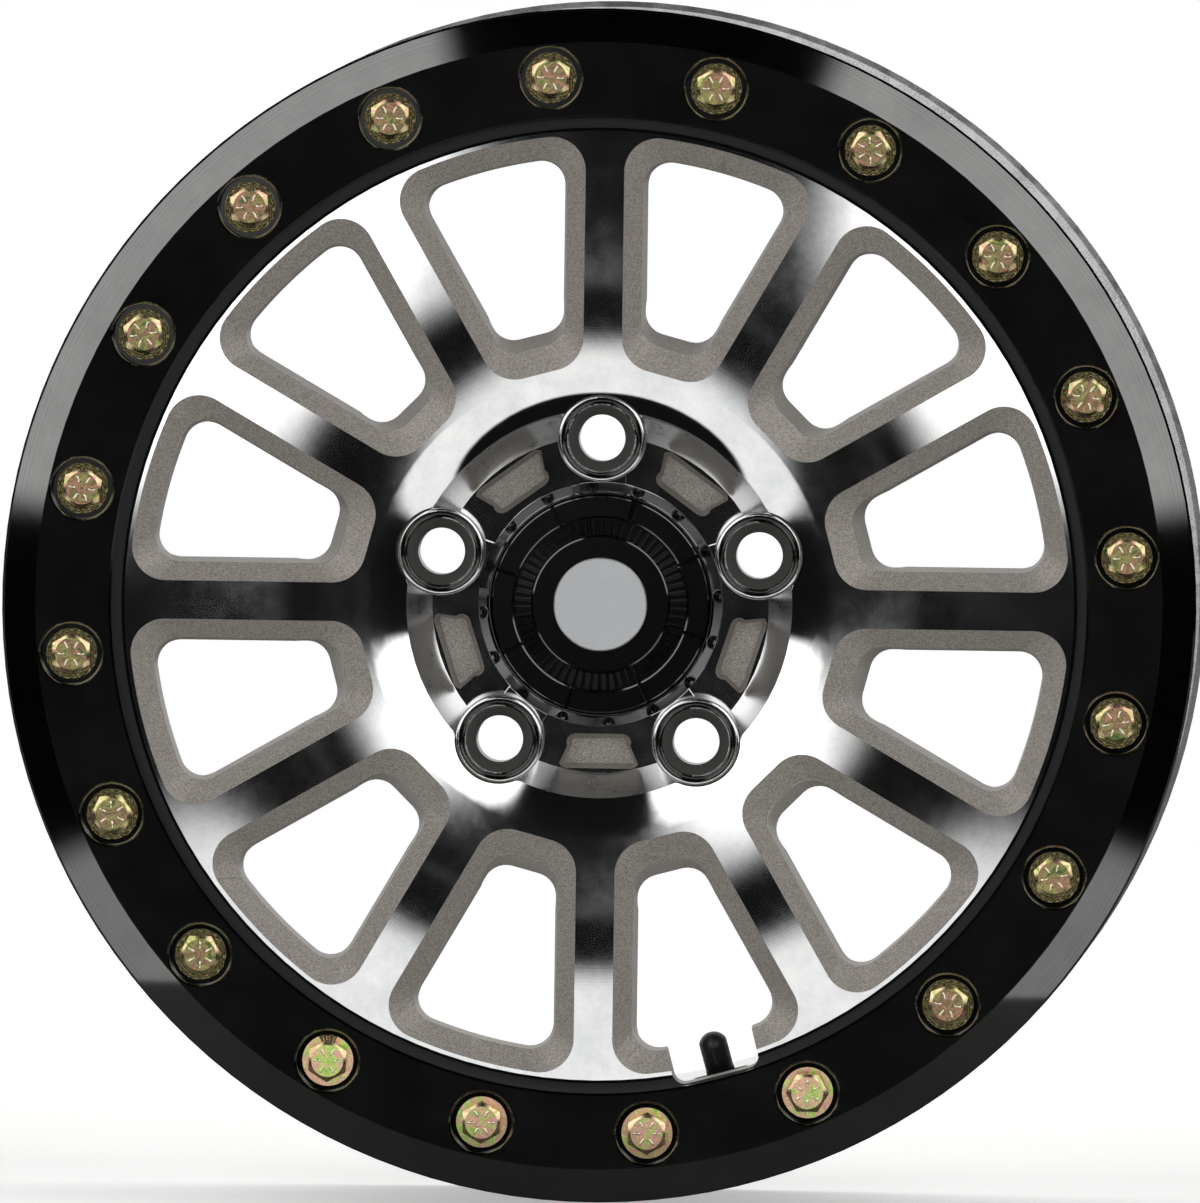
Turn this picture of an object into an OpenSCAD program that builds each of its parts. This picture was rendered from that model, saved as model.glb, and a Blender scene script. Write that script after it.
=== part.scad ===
// Beadlock wheel: a one-piece cast wheel with twelve spokes, a bolted outer clamp ring,
// steel lug inserts, a clipped centre cap and a snap-in valve.
// The wheel spins about Y. Its outboard face looks along -Y, and +Z is up.
// Profiles are drawn as [radius, depth], where depth runs along the axle and grows outboard.

/* [Rim] */
// Width over everything, from the inboard flange to the front of the clamp ring
wheel_w = 200; // [190:1:215]
// Diameter of the seats that the tyre beads sit on
bead_seat_d = 380.2; // [379:0.1:381]
// Height of the inboard flange above its bead seat
flange_h = 17.3; // [15:0.1:19]
// Thickness of the inboard flange at its rim
flange_t = 8; // [6:0.5:10]
// Thickness of the barrel wall
barrel_t = 6; // [5:0.1:7]
// Depth of the drop centre below the bead seats
well_depth = 17.6; // [15:0.1:18]
// Width of the flat bottom of the drop centre
well_w = 46; // [36:1:54]
// Width of the inboard bead seat
bead_seat_w = 22; // [18:1:26]
// Room for the outboard tyre bead between the casting and the clamp ring
bead_gap = 15; // [12:0.5:17]
// Thickness of the shoulder that backs the outboard bead
shoulder_t = 6; // [5:0.5:8]
// Height of that shoulder above the bead seat
shoulder_h = 11.9; // [8:0.1:13]

/* [Clamp ring] */
// Height of the clamp ring's rim above the bead seat
ring_rim_h = 13.9; // [12:0.1:16]
// How far the clamp ring reaches inwards from the bead seat
ring_reach = 23.5; // [22:0.1:24.5]
// Thickness of the clamp ring at the bolts
ring_t = 12; // [11:0.5:14]
// Width of the bevel round the outside of the clamp ring
ring_bevel_w = 11.5; // [8:0.5:12]
// Drop of that bevel at the ring's rim
ring_bevel_drop = 4.5; // [2:0.5:6]
// How far the lip behind the ring reaches over the bead
ring_lip_h = 4; // [3:0.5:5]
// Chamfer on the ring's edges
ring_chamfer = 0.8; // [0.4:0.1:1.2]

/* [Ring bolts] */
// Number of bolts round the clamp ring
bolt_count = 20; // [16:1:24]
// Distance of the ring bolts inside the bead seat
bolt_inset = 9.1; // [8.5:0.1:10]
// Diameter of a ring bolt's shank
bolt_d = 7.94; // [7:0.01:8.5]
// Length of a ring bolt under its head
bolt_l = 19; // [17:0.5:21]
// Width across the flats of a bolt head
head_af = 12.7; // [12:0.1:13.5]
// Height of a bolt head
head_h = 5.2; // [4.6:0.1:5.4]
// Outer diameter of a washer
washer_d = 17.46; // [16:0.01:18.5]
// Thickness of a washer
washer_t = 1.6; // [1.2:0.1:1.8]
// Diameter of the counterbore that a bolt head sits in
counterbore_d = 20.8; // [19.5:0.1:21.2]
// Depth of the counterbore
counterbore_depth = 7.2; // [6.9:0.1:7.6]
// Chamfer round the mouth of the counterbore
counterbore_chamfer = 0.85; // [0.5:0.05:1.2]

/* [Spokes and windows] */
// Number of spokes, with a window between each pair
spoke_count = 12; // [11:1:13]
// Width of a spoke's machined face
spoke_face_w = 13.3; // [11:0.1:16]
// Width of the painted bevel down each side of a spoke
spoke_bevel_w = 6.3; // [5:0.1:7.5]
// Width of the thin steep wall below that bevel
spoke_wall_w = 1.3; // [0.8:0.1:1.8]
// Radius of a window's inner end at the machined face
window_in_r = 81.6; // [80.5:0.1:86]
// Width of the face left between a window's outer end and the face's rim
window_rim_w = 1.5; // [1:0.1:4]
// Length of the sloped floor at a window's inner end
window_ramp_l = 8.8; // [6:0.1:10]
// Length of the steep wall at a window's inner end
window_wall_l = 4.8; // [3:0.1:6]
// Width of the bevel at a window's outer end
window_top_l = 7.9; // [6:0.1:9]
// Corner radius of a window at the machined face
window_face_r = 11.5; // [9:0.5:13]
// Corner radius of a window at its narrowest
window_throat_r = 8; // [6:0.5:9]
// Depth of the bevel below the machined face
window_bevel_depth = 6.5; // [5:0.1:9]
// Depth of a window's narrowest line below the machined face
window_throat_depth = 24; // [18:0.5:28]

/* [Machined face] */
// Width of the black band between the machined face and the clamp ring
face_band_w = 4.3; // [3.5:0.1:5]
// Depth of the machined face's rim below the front of the clamp ring
face_recess = 6; // [4:0.5:8]
// How much deeper the face is at the hub than at its rim
face_dish = 0.6; // [0.4:0.1:3]
// Radius of the rounded shoulder round the hub
hub_shoulder_r = 24; // [22:0.5:28]
// Radius at which that rounding meets the flat of the face
hub_shoulder_start = 80; // [79:0.1:80.4]
// Width of that rounding, from the flat in to the mouth of the hub recess
hub_shoulder_w = 14; // [13:0.1:15]

/* [Hub] */
// Diameter of the floor of the hub recess
recess_floor_d = 115.4; // [114:0.1:118]
// Depth of the recess wall
recess_depth = 19.7; // [17:0.1:21]
// Depth of the wheel's mounting face below the front of the clamp ring
offset_depth = 61; // [58:0.5:64]
// Diameter of the mounting face
pad_d = 150; // [146:1:154]
// Diameter of the pilot bore behind the cap
pilot_d = 79; // [78:0.1:80]
// Diameter of the lip that the cap clips into
cap_lip_d = 76; // [75:0.1:76.5]
// Thickness of that lip
cap_lip_t = 6; // [5:0.5:7]

/* [Lug seats] */
// Number of lug holes
lug_count = 5; // [4:1:5]
// Diameter of the lug circle
lug_circle_d = 114.3; // [113:0.1:116]
// Diameter of the hole that a wheel stud passes through
lug_hole_d = 16; // [14:0.1:17]
// Outer diameter of a lug insert
insert_d = 30; // [28:0.1:30.4]
// Height of an insert's raised ring
insert_flange_t = 6; // [5:0.1:7]
// Diameter of an insert's shank
insert_shank_d = 25; // [23:0.1:26]
// Length of an insert's shank
insert_shank_l = 24; // [20:0.5:28]
// Diameter of the mouth of the taper seat
seat_mouth_d = 22.8; // [21:0.1:23.5]
// Full angle of the taper seat
seat_angle = 60; // [50:1:70]
// Depth of the insert's shoulder below the front of the clamp ring
insert_depth = 16; // [15:0.1:18]
// Width of the machined tongue between an insert and the cap
tongue_w = 16; // [12:0.5:18]
// Height of that tongue above the recess floor
tongue_h = 6; // [4:0.5:7]

/* [Hub pockets] */
// Radius of a front pocket's inner edge
pocket_in_r = 44.4; // [43:0.1:46]
// Radius of a front pocket's outer edge
pocket_out_r = 56.3; // [54:0.1:56.8]
// Width of a front pocket at its inner edge
pocket_in_w = 20; // [16:0.5:22]
// Width of a front pocket at its outer edge
pocket_out_w = 31; // [26:0.5:33]
// Depth of a front pocket
pocket_depth = 7; // [4:0.5:9]
// Corner radius of a front pocket at its mouth
pocket_r = 3; // [2.6:0.1:3.6]
// How far a front pocket narrows on each side by its floor
pocket_draft = 1.6; // [1:0.1:2]
// Depth of the lightening pockets in the mounting face
back_pocket_depth = 12; // [8:0.5:15]

/* [Centre cap] */
// Outer diameter of the cap's gloss ring
cap_d = 83.6; // [82:0.1:84]
// Inner diameter of that ring
cap_ring_in_d = 75.6; // [74.5:0.1:76.2]
// Height of the cap above the recess floor
cap_h = 6; // [5:0.1:7]
// Drop of the gloss ring's bevel
cap_bevel = 2.6; // [1.5:0.1:3]
// Number of half-round notches in the gloss ring
notch_count = 16; // [12:1:20]
// Radius of a notch
notch_r = 2.1; // [1.6:0.1:2.4]
// Thickness of the cap's web
cap_web_t = 2; // [1.6:0.1:2.4]
// Number of clip legs behind the cap
clip_count = 8; // [6:1:10]
// Length of a clip leg
clip_l = 12; // [11:0.5:13]
// Wire diameter of the spring ring inside the clips
spring_wire_d = 1.8; // [1.4:0.1:2.2]
// Number of raised panels round the cap's face
panel_count = 8; // [6:1:10]
// Inner diameter of the raised panels
panel_in_d = 59.4; // [57:0.1:61]
// Inner diameter of the ribbed band
rib_in_d = 47.4; // [44:0.1:50]
// Number of ribs
rib_count = 60; // [40:1:72]
// Diameter of the plain silver disc in the middle of the cap
badge_d = 32; // [24:0.5:40]
// Thickness of that disc
badge_t = 1.2; // [0.8:0.1:1.6]

/* [Valve] */
// Distance of the valve inside the bead seat
valve_inset = 10.1; // [9:0.1:11]
// Width of the notch that gives room for the valve
valve_notch_w = 30; // [26:0.5:34]
// Diameter of the valve hole
valve_hole_d = 11.5; // [11.3:0.1:11.9]
// Thickness of the wall that the valve snaps into
valve_wall_t = 4; // [3:0.1:5]
// Diameter of the rubber stem
rubber_d = 10.2; // [9.6:0.1:10.6]
// Diameter of the threaded tip
tip_d = 7.7; // [7.5:0.1:8]
// Outer diameter of the valve cap
valve_cap_d = 9.6; // [9.2:0.1:10]
// Length of the valve cap
valve_cap_l = 13.6; // [12.5:0.1:14.5]
// Distance from the wall to the top of the valve cap
valve_reach = 31; // [30:0.1:33]
// Number of grooves round the valve cap
knurl_count = 24; // [16:1:30]

/* [Clearances] */
// Radial clearance between a shank and its hole in the casting
shank_clearance = 0.1; // [0.05:0.01:0.2]
// Radial clearance between a bolt and the clamp ring
ring_hole_clearance = 0.5; // [0.3:0.05:0.8]
// Radial clearance between the ring's lip and the casting
register_clearance = 0.4; // [0.2:0.05:0.6]
// Clearance between parts that snap or screw together
snap_clearance = 0.25; // [0.15:0.01:0.3]

/* [Hidden] */
$fn = 96;

aluminium = "silver";
black = [0.06, 0.06, 0.06];
zinc = [0.75, 0.66, 0.42];
steel = [0.72, 0.72, 0.74];
satin_black = [0.1, 0.1, 0.1];
brass = [0.78, 0.62, 0.3];
rubber = [0.08, 0.08, 0.08];

// Depths along the axle
front = wheel_w / 2;
back = -wheel_w / 2;
seat_depth = front - ring_t;
lip_depth = seat_depth - ring_lip_h;
shoulder_front = lip_depth - bead_gap;
shoulder_back = shoulder_front - shoulder_t;
face_rim = front - face_recess;
pad_depth = front - offset_depth;

// Radii of the rim
bead_r = bead_seat_d / 2;
well_r = bead_r - well_depth;
barrel_in_r = well_r - barrel_t;
flange_r = bead_r + flange_h;
ring_r = bead_r + ring_rim_h;
ring_bore_r = bead_r - ring_reach;
face_r = ring_bore_r - face_band_w;
window_out_r = face_r - window_rim_w;
bolt_circle_r = bead_r - bolt_inset;
valve_seat_r = bead_r - valve_inset;

// The machined face is a shallow cone, and a round shoulder rolls it over into the hub
face_slope = atan2(face_dish, face_r - hub_shoulder_start);
face_hub = face_rim - face_dish;
shoulder_c = [hub_shoulder_start + hub_shoulder_r * sin(face_slope),
              face_hub - hub_shoulder_r * cos(face_slope)];
mouth_r = hub_shoulder_start - hub_shoulder_w;
mouth_depth = shoulder_c.y + sqrt(hub_shoulder_r ^ 2 - (shoulder_c.x - mouth_r) ^ 2);
floor_depth = mouth_depth - recess_depth;
floor_r = recess_floor_d / 2;

// Half the angle between spokes, and the middle of the window that the valve stands in
half_a = 180 / spoke_count;
valve_window = floor(285 / (2 * half_a));
valve_angle = half_a * (2 * valve_window + 1);

// The valve stands square to the sloped wall of the drop centre
valve_tilt = 27;
well_front = shoulder_back - 2 - well_depth / tan(valve_tilt);
well_back = well_front - well_w;
valve_seat_depth = shoulder_back - 2 - (bead_r - valve_seat_r) / tan(valve_tilt);

// Ring bolts
bolt_step = 360 / bolt_count;
bolt_first = valve_angle + bolt_step / 2;
bolt_hole_depth = bolt_l + 2;
washer_back = front - counterbore_depth;
head_back = washer_back + washer_t;
head_circle_d = 0.86 * head_af;

// Where each bolt's flats came to rest when it was tightened
head_turns = [0, 22, 42, 40, 35, 22, 30, 3, 30, 28, 30, 35, 40, 22, 30, 5, 0, 28, 30, 30];

// Lug seats
lug_r = lug_circle_d / 2;
lug_step = 360 / lug_count;
insert_seat = front - insert_depth;
insert_front = insert_seat + insert_flange_t;
insert_back = insert_seat - insert_shank_l;
stud_relief_r = lug_hole_d / 2 + 1;

// Centre cap
cap_lip_r = cap_lip_d / 2;
clip_r = cap_lip_r - snap_clearance;
clip_t = 2.4;
clip_nib = 1.1;
cap_front = floor_depth + cap_h;
cap_web_front = floor_depth + cap_web_t;
clip_nib_front = floor_depth - cap_lip_t - snap_clearance;

// Valve lengths, measured from the tyre side of the wall towards the cap
tip_end = valve_reach - 5.2;
valve_cap_start = valve_reach - valve_cap_l;
rubber_l = valve_cap_start - snap_clearance;
chamber_start = 8;
core_front = tip_end - 1.5;
core_back = core_front - 6.5;
pin_front = tip_end - 0.4;

// Parts of the valve that fit inside one another
spotface_d = 19;
stem_core_r = 2.8;
chamber_r = 2.2;
pin_r = 0.5;
pin_bore_r = 0.58;
cup_r = 1.7;
cup_h = 1;
cup_front = core_back - 1.4;
seal_t = 1;

// The disc's back, and the lightening pockets in the mounting face
pilot_r = pilot_d / 2;
// Beyond the pilot bore the hub opens out, which leaves the cap's clip legs room to spread
leg_room_r = pilot_r + 1;
leg_room_back = floor_depth - clip_l - 2.5;
disc_back_rim = shoulder_back + 1;
disc_back_hub = pad_depth + 16;
notch_start_r = window_out_r - 20;
back_pocket_in_r = 47;
back_pocket_out_r = 70;
back_pocket_in_w = 26;
back_pocket_out_w = 42;

// Turn of the cap in its seat
cap_turn = 72.2;

corner_steps = 7;
pocket_steps = 4;

// Turns the drawing axle, along Z, to the wheel's own axle, along -Y
module on_axle() {
    rotate([90, 0, 0]) children();
}

// Puts a piece on the valve's own line, with the tyre side of the wall at 0
module on_valve() {
    rotate([0, 0, valve_angle]) translate([valve_seat_r, 0, valve_seat_depth])
        rotate([0, valve_tilt - 90, 0]) children();
}

module round_pattern(count, r, first = 0) {
    for (i = [0 : count - 1]) rotate([0, 0, first + i * 360 / count]) translate([r, 0, 0]) children();
}

function arc(c, r, a0, a1, steps) =
    [for (i = [0 : steps]) let (a = a0 + (a1 - a0) * i / steps) c + r * [cos(a), sin(a)]];

// Centres of a window's corner arcs. Its sides run parallel to the spokes beside it
function window_centres(side, r_in, r_out, r) =
    let (d = side + r, rho = r_out - r, u = r_in + r,
         v = u * tan(half_a) - d / cos(half_a), b = half_a - asin(d / rho))
    [[u, -v], rho * [cos(b), -sin(b)], rho * [cos(b), sin(b)], [u, v]];

// One level of a window: rounded corners, a straight inner end, and an outer end round the axle
function window_ring(depth, side, r_in, r_out, r) =
    let (c = window_centres(side, r_in, r_out, r), b = atan2(c[2].y, c[2].x))
    [for (p = concat(
        arc(c[0], r, 180, 270 + half_a, corner_steps),
        arc(c[1], r, 270 + half_a, 360 - b, corner_steps),
        arc([0, 0], r_out, -b / 2, b / 2, 3),
        arc(c[2], r, b, 90 - half_a, corner_steps),
        arc(c[3], r, 90 - half_a, 180, corner_steps))) [p.x, p.y, depth]];

// One level of a trapezoid pocket along X. Its corner centres lie mouth_r inside its outline
function pocket_ring(depth, r_in, r_out, w_in, w_out, mouth_r, r) =
    let (lean = atan2((w_out - w_in) / 2, r_out - r_in), x0 = r_in + mouth_r, x1 = r_out - mouth_r,
         y0 = side_at(x0, r_in, r_out, w_in, w_out) - mouth_r / cos(lean),
         y1 = side_at(x1, r_in, r_out, w_in, w_out) - mouth_r / cos(lean))
    [for (p = concat(
        arc([x0, -y0], r, 180, 270 + lean, pocket_steps),
        arc([x1, -y1], r, 270 + lean, 360, pocket_steps),
        arc([x1, y1], r, 0, 90 - lean, pocket_steps),
        arc([x0, y0], r, 90 - lean, 180, pocket_steps))) [p.x, p.y, depth]];

// Half width of a trapezoid at radius x
function side_at(x, r_in, r_out, w_in, w_out) =
    w_in / 2 + (x - r_in) / (r_out - r_in) * (w_out - w_in) / 2;

// Skins a stack of outlines that have the same number of points, from the highest to the lowest
module loft(rings) {
    n = len(rings[0]);
    last = (len(rings) - 1) * n;
    polyhedron(
        points = [for (ring = rings) each ring],
        faces = concat(
            [[for (i = [n - 1 : -1 : 0]) i]],
            [for (j = [0 : n : last - n], i = [0 : n - 1])
                let (a = j + i, b = j + (i + 1) % n) [a, b, b + n, a + n]],
            [[for (i = [0 : n - 1]) last + i]]));
}

// Section of the casting: hub, disc, barrel with its drop centre, inboard flange and bead shoulder
module wheel_profile() {
    pad_r = pad_d / 2;
    shoulder_r = bead_r + shoulder_h;
    flange_in = back + flange_t;
    seat_in = flange_in + bead_seat_w;
    taper = bead_seat_w * tan(5);
    polygon([
        [cap_lip_r, floor_depth], [floor_r, floor_depth], [mouth_r, mouth_depth],
        [hub_shoulder_start, face_hub], [face_r, face_rim], [face_r + 1, face_rim - 1.2],
        [face_r + 1, seat_depth], [bead_r, seat_depth], [bead_r, shoulder_front],
        [shoulder_r - 1, shoulder_front], [shoulder_r, shoulder_front - 1],
        [shoulder_r, shoulder_back + 1], [shoulder_r - 1, shoulder_back],
        [bead_r + 1.5, shoulder_back], [bead_r, shoulder_back - 2],
        [well_r, well_front], [well_r, well_back],
        [bead_r - taper, seat_in + 9], [bead_r - taper + 1.6, seat_in + 6],
        [bead_r - taper + 1.6, seat_in + 3], [bead_r - taper, seat_in],
        [bead_r, flange_in + 2], [bead_r + 2, flange_in],
        [flange_r - 2, flange_in], [flange_r, flange_in - 2],
        [flange_r, back + 1.5], [flange_r - 1.5, back], [flange_r - 6, back],
        [bead_r + 2, back + 4], [bead_r - barrel_t, back + 9], [bead_r - taper - barrel_t, seat_in + 6],
        [barrel_in_r, well_back], [barrel_in_r, disc_back_rim],
        [barrel_in_r - 6, disc_back_rim + 1.5], [pad_r + 14, disc_back_hub],
        [pad_r + 4, pad_depth + 6], [pad_r + 2, pad_depth + 1], [pad_r, pad_depth],
        [pilot_r, pad_depth], [pilot_r, leg_room_back], [leg_room_r, leg_room_back],
        [leg_room_r, floor_depth - cap_lip_t], [cap_lip_r, floor_depth - cap_lip_t]
    ]);
    intersection() {
        translate(shoulder_c) circle(r = hub_shoulder_r);
        polygon([
            [mouth_r, mouth_depth - 3], [mouth_r, face_rim],
            [hub_shoulder_start, face_rim], [hub_shoulder_start, face_hub - 3]
        ]);
    }
}

// A window: a shallow painted bevel, a steep wall down to the throat, and draft towards the back
module window() {
    mouth_h = 3;
    run = mouth_h / window_bevel_depth;
    side = spoke_face_w / 2;
    throat_side = side + spoke_bevel_w + spoke_wall_w;
    throat_in = window_in_r + window_ramp_l + window_wall_l;
    throat_out = window_out_r - window_top_l;
    corner_flare = window_face_r - window_throat_r;
    end_wall_l = 0.8;
    back_l = 36;
    back_draft = 7;
    loft([
        window_ring(mouth_h, side - run * spoke_bevel_w, window_in_r - run * window_ramp_l,
                    window_out_r + run * window_top_l, window_face_r + run * corner_flare),
        window_ring(0, side, window_in_r, window_out_r, window_face_r),
        window_ring(-window_bevel_depth, side + spoke_bevel_w, window_in_r + window_ramp_l,
                    throat_out + end_wall_l, window_throat_r + end_wall_l),
        window_ring(-window_throat_depth, throat_side, throat_in, throat_out, window_throat_r),
        window_ring(-window_throat_depth - back_l, throat_side - back_draft, throat_in - back_draft,
                    throat_out + back_draft, window_throat_r + 2)
    ]);
}

// Room for the valve, cut through the disc beyond the end of one window
module valve_notch() {
    r = 4;
    w = valve_notch_w / 2 - r;
    end = barrel_in_r - 0.6 - r;
    translate([0, 0, disc_back_rim - 4]) linear_extrude(front - disc_back_rim)
        polygon(concat([[notch_start_r, -w - r]], arc([end, -w], r, 270, 360, 5),
                       arc([end, w], r, 0, 90, 5), [[notch_start_r, w + r]]));
}

module wheel() {
    lug_relief = 0.3;
    window_sink = 0.05;
    window_plane = face_hub - hub_shoulder_start * tan(face_slope) - window_sink;
    color(aluminium) on_axle() difference() {
        union() {
            rotate_extrude() wheel_profile();
            round_pattern(lug_count, lug_r, 90)
                translate([0, 0, floor_depth - 2]) cylinder(r = insert_d / 2, h = insert_seat - floor_depth + 2);
            for (i = [0 : lug_count - 1]) rotate([0, 0, 90 + i * lug_step]) difference() {
                translate([cap_lip_r + 1, -tongue_w / 2, floor_depth - 2])
                    cube([lug_r - cap_lip_r, tongue_w, tongue_h + 2]);
                translate([0, 0, floor_depth]) cylinder(d = cap_d + 2 * snap_clearance, h = tongue_h + 1);
            }
        }
        for (i = [0 : spoke_count - 1]) rotate([0, 0, half_a * (2 * i + 1)])
            translate([0, 0, window_plane]) rotate([0, -face_slope, 0]) window();
        rotate([0, 0, valve_angle]) valve_notch();
        on_valve() {
            translate([0, 0, -4]) cylinder(d = valve_hole_d, h = valve_wall_t + 6);
            translate([0, 0, valve_wall_t]) cylinder(d = spotface_d, h = valve_reach / 2);
        }
        for (i = [0 : bolt_count - 1]) rotate([0, 0, bolt_first + i * bolt_step])
            translate([bolt_circle_r, 0, head_back - bolt_hole_depth])
                cylinder(r = bolt_d / 2 + shank_clearance, h = bolt_hole_depth);
        for (i = [0 : lug_count - 1]) rotate([0, 0, 90 + i * lug_step]) {
            translate([lug_r, 0, insert_seat]) cylinder(r = insert_d / 2 + lug_relief, h = insert_depth);
            translate([lug_r, 0, insert_back])
                cylinder(r = insert_shank_d / 2 + shank_clearance, h = insert_shank_l + 1);
            translate([lug_r, 0, pad_depth - 1]) cylinder(r = stud_relief_r, h = insert_back - pad_depth + 2);
        }
        for (i = [0 : lug_count - 1]) rotate([0, 0, 90 + (i + 0.5) * lug_step]) {
            loft([
                pocket_ring(floor_depth + 1, pocket_in_r, pocket_out_r, pocket_in_w, pocket_out_w,
                            pocket_r, pocket_r + pocket_draft / pocket_depth),
                pocket_ring(floor_depth - pocket_depth, pocket_in_r, pocket_out_r, pocket_in_w, pocket_out_w,
                            pocket_r, pocket_r - pocket_draft)
            ]);
            loft([
                pocket_ring(pad_depth + back_pocket_depth, back_pocket_in_r, back_pocket_out_r,
                            back_pocket_in_w, back_pocket_out_w, 5, 2.5),
                pocket_ring(pad_depth - 1, back_pocket_in_r, back_pocket_out_r,
                            back_pocket_in_w, back_pocket_out_w, 5, 5.2)
            ]);
        }
    }
}

// The clamp ring, with a lip behind it that laps over the casting and presses on the tyre bead
module beadlock_ring() {
    lip_in_r = bead_r + register_clearance;
    hole_r = bolt_d / 2 + ring_hole_clearance;
    c = ring_chamfer;
    color(black) on_axle() difference() {
        rotate_extrude() polygon([
            [ring_bore_r, seat_depth], [ring_bore_r, front - c], [ring_bore_r + c, front],
            [ring_r - ring_bevel_w, front], [ring_r - c, front - ring_bevel_drop],
            [ring_r, front - ring_bevel_drop - c], [ring_r, lip_depth + c], [ring_r - c, lip_depth],
            [lip_in_r, lip_depth], [lip_in_r, seat_depth]
        ]);
        for (i = [0 : bolt_count - 1]) rotate([0, 0, bolt_first + i * bolt_step])
            translate([bolt_circle_r, 0, 0]) {
                translate([0, 0, seat_depth - 1]) cylinder(r = hole_r, h = ring_t);
                translate([0, 0, washer_back]) cylinder(d = counterbore_d, h = counterbore_depth + 1);
                translate([0, 0, front - counterbore_chamfer])
                    cylinder(d1 = counterbore_d, d2 = counterbore_d + 4 * counterbore_chamfer,
                             h = 2 * counterbore_chamfer);
            }
    }
}

// Hexagon bolts, chamfered on top
module beadlock_bolts() {
    head_r = head_af / 2 / cos(30);
    chamfer_h = (head_r - head_circle_d / 2) * tan(30);
    color(zinc) on_axle() for (i = [0 : bolt_count - 1])
        rotate([0, 0, bolt_first + i * bolt_step]) translate([bolt_circle_r, 0, head_back])
            rotate([0, 0, head_turns[i % len(head_turns)] - bolt_first - i * bolt_step]) {
                intersection() {
                    cylinder(r = head_r, h = head_h, $fn = 6);
                    rotate_extrude() polygon([
                        [0, 0], [head_r + 1, 0], [head_r + 1, head_h - chamfer_h - tan(30)],
                        [head_circle_d / 2, head_h], [0, head_h]
                    ]);
                }
                rotate_extrude() polygon([
                    [0, -bolt_l], [bolt_d / 2 - 1, -bolt_l], [bolt_d / 2, 1 - bolt_l], [bolt_d / 2, 1], [0, 1]
                ]);
            }
}

module beadlock_washers() {
    color(zinc) on_axle() round_pattern(bolt_count, bolt_circle_r, bolt_first)
        translate([0, 0, washer_back]) difference() {
            cylinder(d = washer_d, h = washer_t);
            translate([0, 0, -1]) cylinder(r = bolt_d / 2 + ring_hole_clearance, h = washer_t + 2);
        }
}

// A pressed-in steel seat: rounded raised ring, hollow groove, and a taper for the lug nut
module lug_insert(i) {
    r = insert_d / 2;
    mouth_r = seat_mouth_d / 2;
    hole_r = lug_hole_d / 2;
    shank_r = insert_shank_d / 2;
    lip_r = 1.1;
    taper_l = (mouth_r - hole_r) / tan(seat_angle / 2);
    edge = insert_flange_t - 1.2;
    groove_c = [(mouth_r + r - lip_r) / 2, insert_flange_t];
    color(steel) on_axle() rotate([0, 0, 90 + (i - 1) * lug_step]) translate([lug_r, 0, insert_seat])
        rotate_extrude() difference() {
            union() {
                polygon([
                    [hole_r, -insert_shank_l], [shank_r - 1, -insert_shank_l], [shank_r, 1 - insert_shank_l],
                    [shank_r, 0], [r, 0], [r, insert_flange_t - lip_r], [r - lip_r, insert_flange_t],
                    [mouth_r + 0.4, edge], [mouth_r, edge], [hole_r, edge - taper_l]
                ]);
                translate([r - lip_r, insert_flange_t - lip_r]) circle(r = lip_r, $fn = 48);
            }
            translate(groove_c) circle(d = r - lip_r - mouth_r - 0.2, $fn = 48);
        }
}

// Cap body: web, gloss outer ring with half-round notches, and clip legs behind
module cap_shell() {
    r = cap_d / 2;
    in_r = cap_ring_in_d / 2;
    notch_c = r - 0.5 * notch_r;
    notch_floor = cap_web_front;
    color(black) on_axle() {
        difference() {
            rotate_extrude() polygon([
                [0, floor_depth + 0.05], [r, floor_depth + 0.05], [r, cap_front - cap_bevel],
                [in_r + 0.9, cap_front], [in_r, cap_front], [in_r, cap_web_front], [0, cap_web_front]
            ]);
            round_pattern(notch_count, notch_c, cap_turn) {
                translate([0, 0, notch_floor]) cylinder(r = notch_r, h = cap_h, $fn = 32);
            }
        }
        round_pattern(notch_count, notch_c - 0.4, cap_turn) {
            translate([0, 0, notch_floor - 0.5]) cylinder(r = 0.8, h = 1.6, $fn = 24);
        }
        for (i = [0 : clip_count - 1]) rotate([0, 0, i * 360 / clip_count]) rotate_extrude(angle = 26) polygon([
            [clip_r - clip_t, floor_depth + 1], [clip_r, floor_depth + 1], [clip_r, clip_nib_front],
            [clip_r + clip_nib, clip_nib_front - 0.4], [clip_r + clip_nib, clip_nib_front - 1.4],
            [clip_r - 0.6, floor_depth - clip_l], [clip_r - clip_t, floor_depth - clip_l]
        ]);
    }
}

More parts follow.
